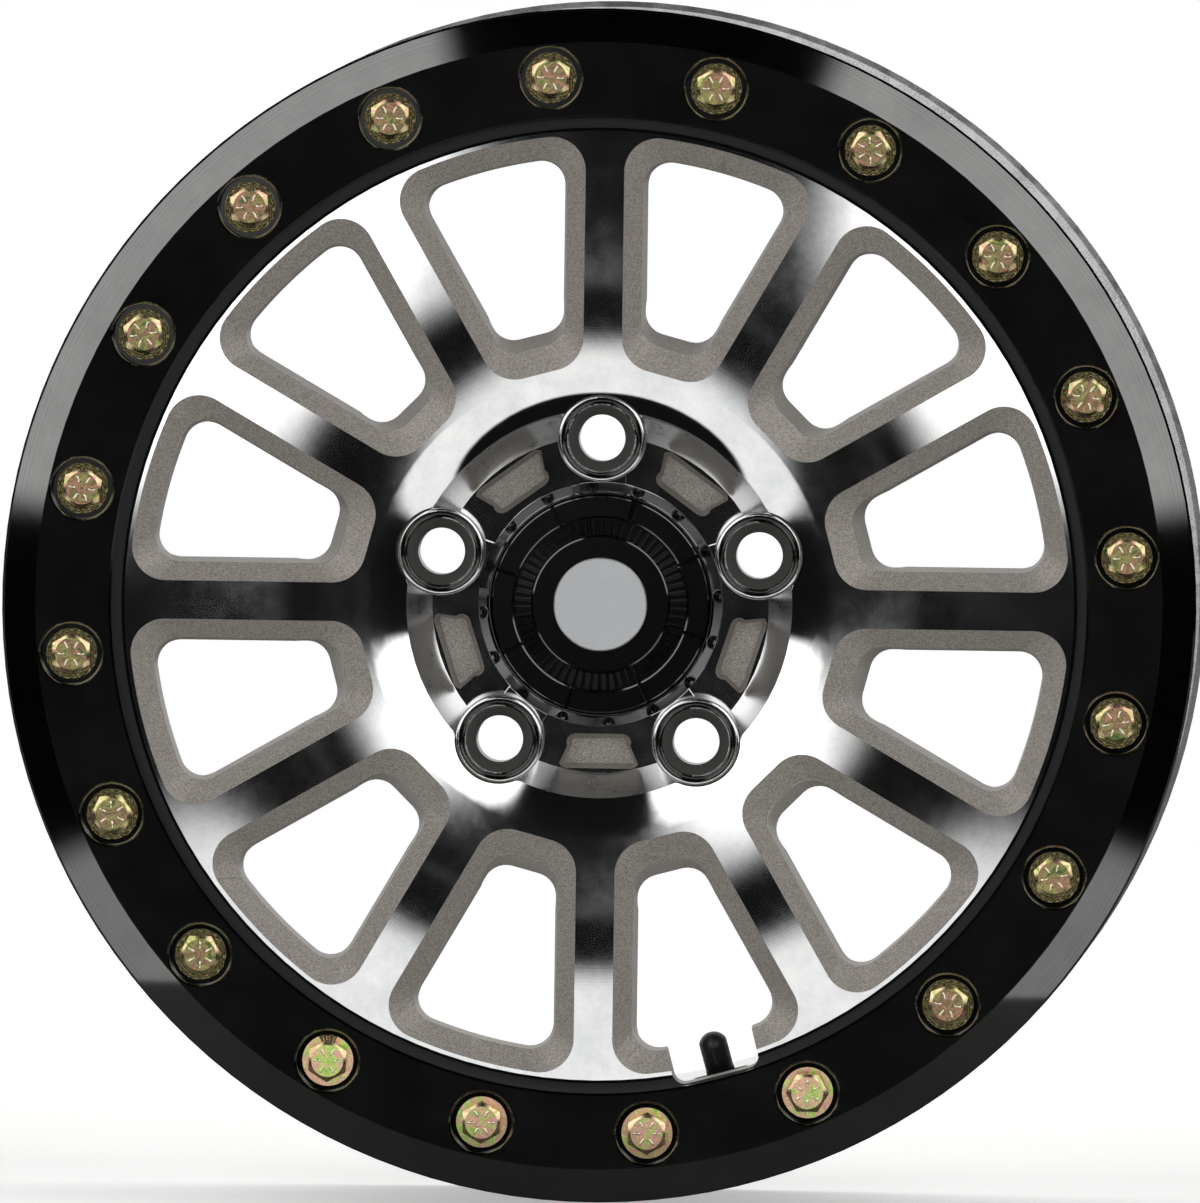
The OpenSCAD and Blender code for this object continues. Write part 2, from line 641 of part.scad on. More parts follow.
// Satin face of the cap: raised panels, then a band of fine ribs, then a flat middle
module cap_face() {
    out_r = cap_ring_in_d / 2 - snap_clearance;
    panel_r = panel_in_d / 2;
    rib_r = rib_in_d / 2;
    gap = 0.9;
    rib_w = 0.9;
    base = cap_web_front + 0.05;
    middle = cap_front - 0.5;
    color(satin_black) on_axle() {
        difference() {
            rotate_extrude() polygon([
                [0, base], [out_r, base], [out_r, cap_front - 1.2], [out_r - 0.5, cap_front - 0.4],
                [panel_r + 0.5, cap_front - 0.4], [panel_r, cap_front - 0.9], [panel_r, base + 1],
                [rib_r, base + 1], [rib_r, middle - 0.4], [rib_r - 0.4, middle], [0, middle]
            ]);
            for (i = [0 : panel_count - 1]) rotate([0, 0, cap_turn + i * 360 / panel_count])
                translate([panel_r - 1, -gap / 2, cap_front - 1.6]) cube([out_r, gap, 3]);
        }
        for (i = [0 : rib_count - 1]) rotate([0, 0, (i + 0.5) * 360 / rib_count])
            translate([rib_r - 0.5, -rib_w / 2, base + 0.5]) cube([panel_r - rib_r + 1, rib_w, middle - base - 1.1]);
    }
}

// Plain silver disc in the middle of the cap
module cap_disc() {
    r = badge_d / 2;
    color(steel) on_axle() translate([0, 0, cap_front - 0.45]) rotate_extrude() polygon([
        [0, 0], [r, 0], [r, badge_t - 0.4], [r - 0.4, badge_t], [0, badge_t]
    ]);
}

// Open ring of spring wire that pushes the clip legs outwards
module cap_spring_ring() {
    wire_r = spring_wire_d / 2;
    color(steel) on_axle() translate([0, 0, floor_depth - clip_l + 3]) rotate_extrude(angle = 348)
        translate([clip_r - clip_t - wire_r - 0.08, 0]) circle(r = wire_r, $fn = 32);
}

// Rubber body: a bulb in the tyre, a neck in the wall, and the stem's sleeve
module valve_rubber() {
    hole_r = valve_hole_d / 2;
    stem_r = rubber_d / 2;
    bore_r = stem_core_r + 0.05;
    color(rubber) on_axle() on_valve() rotate_extrude() polygon([
        [bore_r, -9], [6.2, -9], [8.9, -3.6], [9.1, -1.4], [8.4, -0.1], [hole_r - 0.06, -0.1],
        [hole_r - 0.06, valve_wall_t + 0.1], [7.2, valve_wall_t + 0.1], [6.7, valve_wall_t + 1.6],
        [stem_r, valve_wall_t + 4.4], [stem_r - 0.2, rubber_l], [bore_r, rubber_l]
    ]);
}

// Brass tube bonded into the rubber, threaded outside at its tip, with a chamber for the core
module valve_stem() {
    tip_r = tip_d / 2;
    color(brass) on_axle() on_valve() difference() {
        rotate_extrude() polygon([
            [1.3, -10], [2.6, -10], [stem_core_r, -9.4], [stem_core_r, rubber_l + 0.05],
            [tip_r, rubber_l + 0.05], [tip_r, tip_end - 0.6], [tip_r - 0.6, tip_end], [1.3, tip_end]
        ]);
        translate([0, 0, chamber_start]) cylinder(r = chamber_r, h = tip_end, $fn = 48);
    }
}

// Screwed plug of the core, with a bore that its pin slides in
module valve_core_body() {
    color(brass) on_axle() on_valve() translate([0, 0, core_back]) difference() {
        cylinder(r = chamber_r - 0.08, h = core_front - core_back, $fn = 48);
        translate([0, 0, -1]) cylinder(r = pin_bore_r, h = core_front - core_back + 2, $fn = 48);
    }
}

// Pin with a cup at its inner end that closes on the core's seal
module valve_core_pin() {
    color(steel) on_axle() on_valve() {
        translate([0, 0, chamber_start + 1]) cylinder(r = pin_r, h = pin_front - chamber_start - 1, $fn = 32);
        translate([0, 0, cup_front - cup_h]) cylinder(r = cup_r, h = cup_h, $fn = 48);
    }
}

// Soft ring under the plug that the pin's cup closes on
module valve_core_seal() {
    color(rubber) on_axle() on_valve() translate([0, 0, cup_front + 0.05]) difference() {
        cylinder(r = chamber_r - 0.08, h = core_back - cup_front - 0.1, $fn = 48);
        translate([0, 0, -1]) cylinder(r = pin_r + 0.2, h = 5, $fn = 48);
    }
}

// Coil spring that holds the pin shut
module valve_core_spring() {
    turns = 6;
    wire_r = 0.2;
    coil_r = 1.05;
    sides = 6;
    per_turn = 14;
    low = chamber_start + wire_r + 0.1;
    high = cup_front - cup_h - wire_r - 0.05;
    steps = turns * per_turn;
    rings = [for (i = [steps : -1 : 0]) let (a = i * 360 / per_turn, z = low + (high - low) * i / steps)
        [for (k = [0 : sides - 1]) let (b = k * 360 / sides, r = coil_r + wire_r * cos(b))
            [r * cos(a), r * sin(a), z + wire_r * sin(b)]]];
    color(steel) on_axle() on_valve() loft(rings);
}

// Domed plastic cap with a fluted grip
module valve_cap() {
    r = valve_cap_d / 2;
    dome_r = r + 0.4;
    cavity_r = tip_d / 2 + snap_clearance;
    cavity_l = tip_end + seal_t + 0.2 - valve_cap_start;
    groove_l = valve_cap_l - dome_r;
    color(black) on_axle() on_valve() translate([0, 0, valve_cap_start]) difference() {
        intersection() {
            cylinder(r = r, h = valve_cap_l);
            translate([0, 0, valve_cap_l - dome_r]) union() {
                sphere(r = dome_r);
                translate([0, 0, -valve_cap_l]) cylinder(r = dome_r, h = valve_cap_l);
            }
        }
        translate([0, 0, -1]) cylinder(r = cavity_r, h = cavity_l + 1);
        round_pattern(knurl_count, r + 0.1) {
            translate([0, 0, 1.2]) cylinder(r = 0.38, h = groove_l, $fn = 16);
        }
    }
}

// Washer inside the cap that seals on the stem's end
module valve_cap_seal() {
    color(rubber) on_axle() on_valve() translate([0, 0, tip_end + 0.1]) difference() {
        cylinder(r = tip_d / 2 - 0.2, h = seal_t, $fn = 48);
        translate([0, 0, -1]) cylinder(r = 1.2, h = 4, $fn = 48);
    }
}

wheel();
beadlock_ring();
beadlock_bolts();
beadlock_washers();
lug_insert(1);  // lug_insert_1
lug_insert(2);  // lug_insert_2
lug_insert(3);  // lug_insert_3
lug_insert(4);  // lug_insert_4
lug_insert(5);  // lug_insert_5
cap_shell();
cap_face();
cap_disc();
cap_spring_ring();
valve_rubber();
valve_stem();
valve_core_body();
valve_core_pin();
valve_core_spring();
valve_core_seal();
valve_cap();
valve_cap_seal();
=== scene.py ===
import math

import bmesh
import bpy
from mathutils import Matrix, Vector


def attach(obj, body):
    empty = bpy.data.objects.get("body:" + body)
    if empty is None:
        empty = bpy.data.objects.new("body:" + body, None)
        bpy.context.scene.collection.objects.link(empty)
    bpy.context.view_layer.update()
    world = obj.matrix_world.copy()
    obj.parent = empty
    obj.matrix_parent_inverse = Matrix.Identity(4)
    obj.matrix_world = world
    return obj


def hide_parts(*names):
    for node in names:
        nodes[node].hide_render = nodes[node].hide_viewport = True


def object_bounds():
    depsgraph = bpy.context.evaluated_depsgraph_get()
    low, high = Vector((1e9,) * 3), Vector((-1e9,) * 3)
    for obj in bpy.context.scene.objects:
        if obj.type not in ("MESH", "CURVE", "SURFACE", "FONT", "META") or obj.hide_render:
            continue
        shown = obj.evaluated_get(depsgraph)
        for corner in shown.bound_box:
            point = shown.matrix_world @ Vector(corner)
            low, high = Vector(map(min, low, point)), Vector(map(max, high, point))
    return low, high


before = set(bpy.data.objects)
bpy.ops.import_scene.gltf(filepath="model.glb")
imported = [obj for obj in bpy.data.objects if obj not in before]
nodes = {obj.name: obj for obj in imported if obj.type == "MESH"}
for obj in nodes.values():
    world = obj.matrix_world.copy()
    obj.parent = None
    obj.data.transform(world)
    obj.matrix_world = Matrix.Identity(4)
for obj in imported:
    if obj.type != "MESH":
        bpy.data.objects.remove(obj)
cad_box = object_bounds()

# Sizes that the finish follows, in metres. Depth runs along the axle and grows outboard,
# so a depth is -y in the frame.
BOLT_CIRCLE_R = 0.181
BOLT_FIRST, BOLT_STEP = -66, 18
HEAD_TURNS = (0, 22, 42, 40, 35, 22, 30, 3, 30, 28, 30, 35, 40, 22, 30, 5, 0, 28, 30, 30)
HEAD_FRONT = 0.0996
RING_FRONT = 0.1
RING_DRAW = 0.0625
# Below this height the bolt and washer tops take a brighter zinc, a painted highlight, and their normals
# lean.
LOW_BOLTS = -0.150
LOW_LEAN = math.radians(5)
LOW_NORMAL = Vector((0, -math.cos(LOW_LEAN), -math.sin(LOW_LEAN)))
LUG_CIRCLE_R = 0.05715
LUG_COUNT, LUG_STEP = 5, 72
SEAT_MOUTH_R = 0.0114
GROOVE_R = 0.0139
CREST_R = 0.111
CROWN_R = 0.463
SHOULDER_START = 0.080
SHOULDER_R = 0.024
SHOULDER_BACK = 0.080
MOUTH_R = 0.066
RECESS_DEPTH = 0.06906
FACE_R = 0.1623
SEAT_DEPTH = 0.088
BARREL_R = 0.1585

# Points this near are one point, and a size is met within the slack. Edges flatter than the first angle
# are joined away before the bevel, those under the second are shaded smooth, and where an edge is broken
# it is past the third.
SAME_POINT, SLACK, FINE_SLACK = 2e-6, 1e-4, 1e-5
FLAT_ANGLE, SMOOTH_ANGLE, CORNER_ANGLE = math.radians(0.4), math.radians(19), math.radians(35)
# How squarely a face looks outboard: a bolt's or washer's top, the machined face, its shoulder, a true flat
TOP_SQUARE, FACE_SQUARE, SHOULDER_SQUARE, FLAT_SQUARE = 0.99, 0.97, 0.6, 0.999
RECESS_NORMAL = Vector((0.02, -1, -0.02)).normalized()


def linear(code):
    """An sRGB hex colour as the linear colour that the shaders take."""
    parts = [int(code[i:i + 2], 16) / 255 for i in (1, 3, 5)]
    return [c / 12.92 if c <= 0.04045 else ((c + 0.055) / 1.055) ** 2.4 for c in parts] + [1.0]


def add(tree, kind, inputs=None, **settings):
    """Adds a shader node. An input is a value, or the socket that feeds it."""
    made = tree.nodes.new("ShaderNode" + kind)
    for name, value in settings.items():
        setattr(made, name, value)
    for name, value in (inputs or {}).items():
        if isinstance(value, bpy.types.NodeSocket):
            tree.links.new(value, made.inputs[name])
        else:
            made.inputs[name].default_value = value
    return made


def shader(name):
    """A new material with its principled shader, and the shader's tree."""
    made = bpy.data.materials.new(name)
    made.use_nodes = True
    return made, made.node_tree, made.node_tree.nodes["Principled BSDF"]


def settle(bsdf, **sockets):
    """Sets the shader's own sockets, named with underscores for spaces."""
    for name, value in sockets.items():
        bsdf.inputs[name.replace("_", " ")].default_value = value


def axle_radius(tree):
    """Object coordinates, and the distance from the axle in metres."""
    place = add(tree, "TexCoord").outputs["Object"]
    flat = add(tree, "VectorMath", {0: place, 1: (1, 0, 1)}, operation="MULTIPLY").outputs["Vector"]
    return place, add(tree, "VectorMath", {0: flat}, operation="LENGTH").outputs["Value"]


def noise_1d(tree, coordinate, per_metre, detail=2.0):
    """Noise along one coordinate, for lines left by a turning tool."""
    w = add(tree, "Math", {0: coordinate, 1: per_metre}, operation="MULTIPLY").outputs[0]
    noise = add(tree, "TexNoise", {"W": w, "Scale": 1.0, "Detail": detail}, noise_dimensions="1D")
    return noise.outputs["Fac"]


# Turned aluminium under a clear coat: a mirror with fine rings from the lathe and faint hand marks.
# A real ring is about 0.15 mm wide, drawn here 0.5 mm wide so that it shows.
def turned_aluminium(name, roughness, depth):
    made, tree, bsdf = shader(name)
    place, radius = axle_radius(tree)
    rings = noise_1d(tree, radius, 2000, 3.0)
    marks = add(tree, "TexNoise", {"Vector": place, "Scale": 90.0, "Detail": 6.0,
                                   "Roughness": 0.7}).outputs["Fac"]
    ring_bump = add(tree, "Bump", {"Height": rings, "Distance": depth, "Strength": 1.0}).outputs["Normal"]
    tint = add(tree, "ValToRGB", {"Fac": marks})
    tint.color_ramp.elements[0].position = 0.35
    tint.color_ramp.elements[0].color = linear("#DDDEDF")
    tint.color_ramp.elements[1].position = 0.65
    tint.color_ramp.elements[1].color = linear("#F1F1EF")
    rough = add(tree, "MapRange", {"Value": marks, "From Min": 0.3, "From Max": 0.7,
                                   "To Min": roughness * 0.8, "To Max": roughness * 1.25}).outputs[0]
    tree.links.new(tint.outputs["Color"], bsdf.inputs["Base Color"])
    tree.links.new(rough, bsdf.inputs["Roughness"])
    tree.links.new(ring_bump, bsdf.inputs["Normal"])
    settle(bsdf, Metallic=1.0)
    return made


# Cast aluminium under warm grey metallic paint: a sandy grain, flakes that catch the light, no gloss.
# The grain is 0.4 mm.
def sand_paint(name):
    made, tree, bsdf = shader(name)
    place = add(tree, "TexCoord").outputs["Object"]
    grain = add(tree, "TexNoise", {"Vector": place, "Scale": 2600.0, "Detail": 3.0,
                                   "Roughness": 0.7}).outputs["Fac"]
    flakes = add(tree, "TexVoronoi", {"Vector": place, "Scale": 3400.0}).outputs["Color"]
    flake = add(tree, "SeparateColor", {"Color": flakes}).outputs["Red"]
    speck = add(tree, "Mix", {"Factor": 0.35, "A": grain, "B": flake}).outputs["Result"]
    tone = add(tree, "ValToRGB", {"Fac": speck})
    tone.color_ramp.elements[0].position = 0.28
    tone.color_ramp.elements[0].color = linear("#7A746D")
    tone.color_ramp.elements[1].position = 0.74
    tone.color_ramp.elements[1].color = linear("#C4BEB7")
    bump = add(tree, "Bump", {"Height": grain, "Distance": 0.00012, "Strength": 0.6}).outputs["Normal"]
    tree.links.new(tone.outputs["Color"], bsdf.inputs["Base Color"])
    tree.links.new(bump, bsdf.inputs["Normal"])
    settle(bsdf, Metallic=0.35, Roughness=0.5)
    return made


# Black anodised aluminium, turned and polished before it was dyed: black where the studio is dark,
# grey where a panel shows, with fine rings. A real ring is 0.1 mm wide, drawn here 0.4 mm wide.
def black_anodised(name):
    made, tree, bsdf = shader(name)
    place, radius = axle_radius(tree)
    rings = noise_1d(tree, radius, 2500, 3.0)
    wipe = add(tree, "TexNoise", {"Vector": place, "Scale": 35.0, "Detail": 8.0,
                                  "Roughness": 0.75}).outputs["Fac"]
    blend = add(tree, "Mix", {"Factor": 0.5, "A": rings, "B": wipe}).outputs["Result"]
    tone = add(tree, "ValToRGB", {"Fac": blend})
    tone.color_ramp.elements[0].position = 0.3
    tone.color_ramp.elements[0].color = linear("#5F605F")
    tone.color_ramp.elements[1].position = 0.7
    tone.color_ramp.elements[1].color = linear("#7A7B79")
    rough = add(tree, "MapRange", {"Value": wipe, "From Min": 0.3, "From Max": 0.7,
                                   "To Min": 0.045, "To Max": 0.075}).outputs[0]
    bump = add(tree, "Bump", {"Height": rings, "Distance": 0.0000012, "Strength": 1.0}).outputs["Normal"]
    tree.links.new(tone.outputs["Color"], bsdf.inputs["Base Color"])
    tree.links.new(rough, bsdf.inputs["Roughness"])
    tree.links.new(bump, bsdf.inputs["Normal"])
    settle(bsdf, Metallic=1.0)
    return made


# Black wheel paint on the casting where the clamp ring seats: even, half gloss, a slight orange peel.
def black_paint(name):
    made, tree, bsdf = shader(name)
    place = add(tree, "TexCoord").outputs["Object"]
    peel = add(tree, "TexNoise", {"Vector": place, "Scale": 700.0, "Detail": 2.0}).outputs["Fac"]
    tone = add(tree, "ValToRGB", {"Fac": peel})
    tone.color_ramp.elements[0].color = linear("#0A0A0B")
    tone.color_ramp.elements[1].color = linear("#141415")
    bump = add(tree, "Bump", {"Height": peel, "Distance": 0.00004, "Strength": 0.5}).outputs["Normal"]
    tree.links.new(tone.outputs["Color"], bsdf.inputs["Base Color"])
    tree.links.new(bump, bsdf.inputs["Normal"])
    settle(bsdf, Roughness=0.35)
    return made


# Yellow zinc plate: pale brass with green and pink patches where the chromate is thicker.
# The patches are 3 to 6 mm across. A forged top is rough, so it glitters dark where a cut side shines.
def yellow_zinc(name, codes, roughness, grain_per_m, grain_depth):
    made, tree, bsdf = shader(name)
    place = add(tree, "TexCoord").outputs["Object"]
    film = add(tree, "TexNoise", {"Vector": place, "Scale": 170.0, "Detail": 2.0,
                                  "Distortion": 1.2}).outputs["Fac"]
    grain = add(tree, "TexNoise", {"Vector": place, "Scale": grain_per_m, "Detail": 3.0}).outputs["Fac"]
    tone = add(tree, "ValToRGB", {"Fac": film})
    ramp = tone.color_ramp
    for position, code in zip((0.42, 0.5, 0.58), codes[1:4]):
        ramp.elements.new(position).color = linear(code)
    ramp.elements[0].position, ramp.elements[-1].position = 0.3, 0.7
    ramp.elements[0].color, ramp.elements[-1].color = linear(codes[0]), linear(codes[-1])
    rough = add(tree, "MapRange", {"Value": grain, "From Min": 0.3, "From Max": 0.7,
                                   "To Min": roughness * 0.7, "To Max": roughness * 1.4}).outputs[0]
    bump = add(tree, "Bump", {"Height": grain, "Distance": grain_depth, "Strength": 1.0}).outputs["Normal"]
    tree.links.new(tone.outputs["Color"], bsdf.inputs["Base Color"])
    tree.links.new(rough, bsdf.inputs["Roughness"])
    tree.links.new(bump, bsdf.inputs["Normal"])
    settle(bsdf, Metallic=1.0)
    return made


# A washer's zinc plate: olive, with rings of wear round the bolt. The piece's UV map holds the distance
# from the bolt's own axis and the angle round it.
def worn_zinc(name):
    made, tree, bsdf = shader(name)
    place = add(tree, "TexCoord").outputs["UV"]
    smear = add(tree, "Mapping", {"Vector": place, "Scale": (2600.0, 6.0, 1.0)}).outputs["Vector"]
    wear = add(tree, "TexNoise", {"Vector": smear, "Scale": 1.0, "Detail": 4.0,
                                  "Roughness": 0.7}).outputs["Fac"]
    tone = add(tree, "ValToRGB", {"Fac": wear})
    ramp = tone.color_ramp
    ramp.elements[0].position, ramp.elements[-1].position = 0.35, 0.68
    ramp.elements[0].color, ramp.elements[-1].color = linear("#1C1810"), linear("#C4B790")
    ramp.elements.new(0.5).color = linear("#524B2B")
    bump = add(tree, "Bump", {"Height": wear, "Distance": 0.00006, "Strength": 1.0}).outputs["Normal"]
    tree.links.new(tone.outputs["Color"], bsdf.inputs["Base Color"])
    tree.links.new(bump, bsdf.inputs["Normal"])
    settle(bsdf, Metallic=1.0, Roughness=0.22)
    return made


# Bare steel, brass or spring wire: a fine drawn or polished grain with a little unevenness.
def bare_metal(name, low, high, roughness, grain_scale):
    made, tree, bsdf = shader(name)
    place = add(tree, "TexCoord").outputs["Object"]
    grain = add(tree, "TexNoise", {"Vector": place, "Scale": grain_scale, "Detail": 4.0}).outputs["Fac"]
    tone = add(tree, "ValToRGB", {"Fac": grain})
    tone.color_ramp.elements[0].position = 0.3
    tone.color_ramp.elements[0].color = linear(low)
    tone.color_ramp.elements[1].position = 0.7
    tone.color_ramp.elements[1].color = linear(high)
    rough = add(tree, "MapRange", {"Value": grain, "From Min": 0.3, "From Max": 0.7,
                                   "To Min": roughness * 0.75, "To Max": roughness * 1.3}).outputs[0]
    bump = add(tree, "Bump", {"Height": grain, "Distance": 0.00001, "Strength": 0.6}).outputs["Normal"]
    tree.links.new(tone.outputs["Color"], bsdf.inputs["Base Color"])
    tree.links.new(rough, bsdf.inputs["Roughness"])
    tree.links.new(bump, bsdf.inputs["Normal"])
    settle(bsdf, Metallic=1.0)
    return made


# The lug nut's seat, turned and left dull: fine grooves round the stud, which the UV map follows.
# A real groove is 0.1 mm wide, drawn here 0.4 mm wide.
def turned_seat(name):
    made, tree, bsdf = shader(name)
    place = add(tree, "TexCoord").outputs["UV"]
    across = add(tree, "SeparateXYZ", {"Vector": place}).outputs["X"]
    grooves = noise_1d(tree, across, 2500, 2.0)
    tone = add(tree, "ValToRGB", {"Fac": grooves})
    tone.color_ramp.elements[0].position = 0.3
    tone.color_ramp.elements[0].color = linear("#7F7E7B")
    tone.color_ramp.elements[1].position = 0.7
    tone.color_ramp.elements[1].color = linear("#A9A8A4")
    bump = add(tree, "Bump", {"Height": grooves, "Distance": 0.00004, "Strength": 1.0}).outputs["Normal"]
    tree.links.new(tone.outputs["Color"], bsdf.inputs["Base Color"])
    tree.links.new(bump, bsdf.inputs["Normal"])
    settle(bsdf, Metallic=0.85, Roughness=0.32)
    return made


# Moulded black plastic or rubber: a fine mould texture, a trace of dust in the colour.
def moulded_black(name, low, high, roughness, grain_scale, bump_mm, shine=0.5, lacquer=0.0):
    made, tree, bsdf = shader(name)
    place = add(tree, "TexCoord").outputs["Object"]
    grain = add(tree, "TexNoise", {"Vector": place, "Scale": grain_scale, "Detail": 3.0}).outputs["Fac"]
    tone = add(tree, "ValToRGB", {"Fac": grain})
    tone.color_ramp.elements[0].position = 0.3
    tone.color_ramp.elements[0].color = linear(low)
    tone.color_ramp.elements[1].position = 0.7
    tone.color_ramp.elements[1].color = linear(high)
    bump = add(tree, "Bump", {"Height": grain, "Distance": bump_mm / 1000,
                              "Strength": 0.6}).outputs["Normal"]
    tree.links.new(tone.outputs["Color"], bsdf.inputs["Base Color"])
    tree.links.new(bump, bsdf.inputs["Normal"])
    settle(bsdf, Roughness=roughness, Specular_IOR_Level=shine, Coat_Weight=lacquer)
    return made


face_metal = turned_aluminium("turned_face_aluminium", 0.055, 0.000001)
wall_metal = turned_aluminium("turned_recess_aluminium", 0.3, 0.000004)
barrel_metal = turned_aluminium("turned_barrel_aluminium", 0.26, 0.000012)
cast_paint = sand_paint("sand_cast_metallic_paint")
ring_finish = black_anodised("black_anodised_aluminium")
seat_paint = black_paint("black_wheel_paint")
zinc_plate = yellow_zinc("yellow_zinc_plate",
                         ("#8E9456", "#C9BE86", "#DCCBA0", "#CFA088", "#A9B272"),
                         0.24, 2200.0, 0.00002)
# The raised marks on the bolt heads take this much paler zinc than the rest of the head.
bright_zinc = yellow_zinc("pale_mark_zinc",
                          ("#DDE2B0", "#F0E6C8", "#F6EBD6", "#F2D8C4", "#E6EAC4"),
                          0.2, 1500.0, 0.00001)
forged_zinc = yellow_zinc("forged_yellow_zinc",
                          ("#5C6C40", "#A89E68", "#7E7050", "#B88C74", "#5A7048"),
                          0.22, 3600.0, 0.0001)
# A paler, brighter copy of the zinc, put on the lowest bolt tops and washer tops as a painted highlight
# where they face the low panel.
low_highlight_zinc = yellow_zinc("painted_highlight_zinc",
                         ("#A9D86A", "#D8E08A", "#F0B8A8", "#E8C49A", "#B4E080"),
                         0.3, 1500.0, 0.00002)
washer_zinc = worn_zinc("worn_yellow_zinc")
seat_steel = turned_seat("turned_seat_steel")
# The cove round each lug seat takes this darker steel as painted shade and painted dark reflection.
groove_shade_steel = bare_metal("groove_painted_shade_steel", "#3A3938", "#4E4D4B", 0.14, 900.0)
insert_steel = bare_metal("polished_insert_steel", "#C9CACB", "#DEDEDD", 0.16, 500.0)
spring_wire = bare_metal("drawn_spring_wire", "#8D8F92", "#A9ABAD", 0.3, 900.0)
brass = bare_metal("drawn_brass", "#BE9B52", "#D6B56A", 0.28, 900.0)
badge_silver = bare_metal("satin_silver_plate", "#B9BBBD", "#C8C9CA", 0.42, 1400.0)
gloss_plastic = moulded_black("gloss_black_abs", "#030303", "#060606", 0.055, 300.0, 0.0008, 1.0, 1.0)
satin_plastic = moulded_black("satin_black_abs", "#030303", "#060606", 0.075, 900.0, 0.0004, 1.0, 0.6)
rubber = moulded_black("moulded_valve_rubber", "#111112", "#1C1C1C", 0.62, 1500.0, 0.03)
nylon = moulded_black("moulded_black_nylon", "#0B0B0C", "#151516", 0.38, 1200.0, 0.015)


# Two plugs cut each window, one below the other. Each has an outline at its top and at its foot, in metres:
# depth below the face, half the spoke beside it, inner end, outer end and corner radius.
WINDOW_PLANE = 0.092767
FACE_SLOPE = math.atan(0.6 / 82.3)
WINDOW_STEP = 30
CORNER_SEGMENTS = 80
END_STEPS = 5
WINDOW_CUTS = (((-0.0006, 0.00607, 0.08079, 0.16153, 0.01182), (0.0065, 0.01295, 0.0904, 0.1537, 0.0088)),
               ((0.0061, 0.01293, 0.09037, 0.15372, 0.00882), (0.031, 0.01425, 0.0952, 0.1529, 0.008)))


def window_outline(bm, spot, depth, side, r_in, r_out, r):
    """The corner circles of one window outline and the arc of its outer end, as loose vertices."""
    half = math.radians(WINDOW_STEP / 2)
    reach, in_x = r_out - r, r_in + r
    in_y = in_x * math.tan(half) - (side + r) / math.cos(half)
    bend = half - math.asin((side + r) / reach)
    out_x, out_y = reach * math.cos(bend), reach * math.sin(bend)
    found = []
    for x, y in ((in_x, in_y), (in_x, -in_y), (out_x, out_y), (out_x, -out_y)):
        found += bmesh.ops.create_circle(bm, segments=CORNER_SEGMENTS, radius=r,
                                         matrix=spot @ Matrix.Translation((x, y, -depth)))["verts"]
    for k in range(1 - END_STEPS, END_STEPS):
        angle = bend * k / END_STEPS
        end = spot @ Vector((r_out * math.cos(angle), r_out * math.sin(angle), -depth))
        found.append(bm.verts.new(end))
    return found


def window_cutter(upper, lower):
    """Twelve convex plugs, each between two of the window's outlines."""
    mesh = bpy.data.meshes.new("window_cutter")
    bm = bmesh.new()
    for k in range(360 // WINDOW_STEP):
        angle = -math.radians(WINDOW_STEP * (k + 0.5))
        turn = Matrix.Rotation(angle, 4, "Y") @ Matrix.Rotation(math.pi / 2, 4, "X")
        spot = turn @ Matrix.Translation((0, 0, WINDOW_PLANE)) @ Matrix.Rotation(-FACE_SLOPE, 4, "Y")
        plug = [v for level in (upper, lower) for v in window_outline(bm, spot, *level)]
        bmesh.ops.convex_hull(bm, input=plug)
    bmesh.ops.delete(bm, geom=[e for e in bm.edges if not e.link_faces], context="EDGES")
    bmesh.ops.delete(bm, geom=[v for v in bm.verts if not v.link_faces], context="VERTS")
    bmesh.ops.recalc_face_normals(bm, faces=bm.faces[:])
    bm.to_mesh(mesh)
    bm.free()
    return bpy.data.objects.new("window_cutter", mesh)


def recut_windows(obj):
    """Cuts the windows up to 1.5 mm wider than the CAD's, so that each corner meets its sides smoothly."""
    for upper, lower in WINDOW_CUTS:
        cutter = window_cutter(upper, lower)
        bpy.context.scene.collection.objects.link(cutter)
        cut = obj.modifiers.new("windows", "BOOLEAN")
        cut.operation, cut.solver, cut.object = "DIFFERENCE", "EXACT", cutter
        mesh = bpy.data.meshes.new_from_object(obj.evaluated_get(bpy.context.evaluated_depsgraph_get()))
        obj.modifiers.clear()
        obj.data = mesh
        bpy.data.objects.remove(cutter)


def welded(node, name, body, finish, broken_edge=0.0, recut=None):
    """A smooth-shaded copy of a CAD node, with its loose triangles joined and its edges kept sharp.

    A broken edge is the width in metres of the small chamfer that takes the bite off every sharp edge.
    """
    mesh = nodes[node].data.copy()
    made = bpy.data.objects.new(name, mesh)
    bpy.context.scene.collection.objects.link(made)
    bm = bmesh.new()
    bm.from_mesh(mesh)
    bmesh.ops.remove_doubles(bm, verts=bm.verts, dist=SAME_POINT)
    if recut:
        bm.to_mesh(mesh)
        recut(made)
        mesh = made.data
        bm.clear()
        bm.from_mesh(mesh)
        bmesh.ops.triangulate(bm, faces=bm.faces[:])
    if broken_edge:
        bmesh.ops.dissolve_limit(bm, angle_limit=FLAT_ANGLE, use_dissolve_boundaries=False,
                                 verts=bm.verts[:], edges=bm.edges[:], delimit=set())
        corners = [e for e in bm.edges if len(e.link_faces) == 2 and e.calc_face_angle(0) > CORNER_ANGLE]
        bmesh.ops.bevel(bm, geom=corners, offset=broken_edge, segments=1, affect="EDGES", profile=0.5,
                        material=-1)
    for face in bm.faces:
        face.smooth = True
        face.material_index = 0
    for edge in bm.edges:
        edge.smooth = len(edge.link_faces) == 2 and edge.calc_face_angle(math.pi) < SMOOTH_ANGLE
    bm.to_mesh(mesh)
    bm.free()
    mesh.materials.clear()
    mesh.materials.append(finish)
    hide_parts(node)
    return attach(made, body)


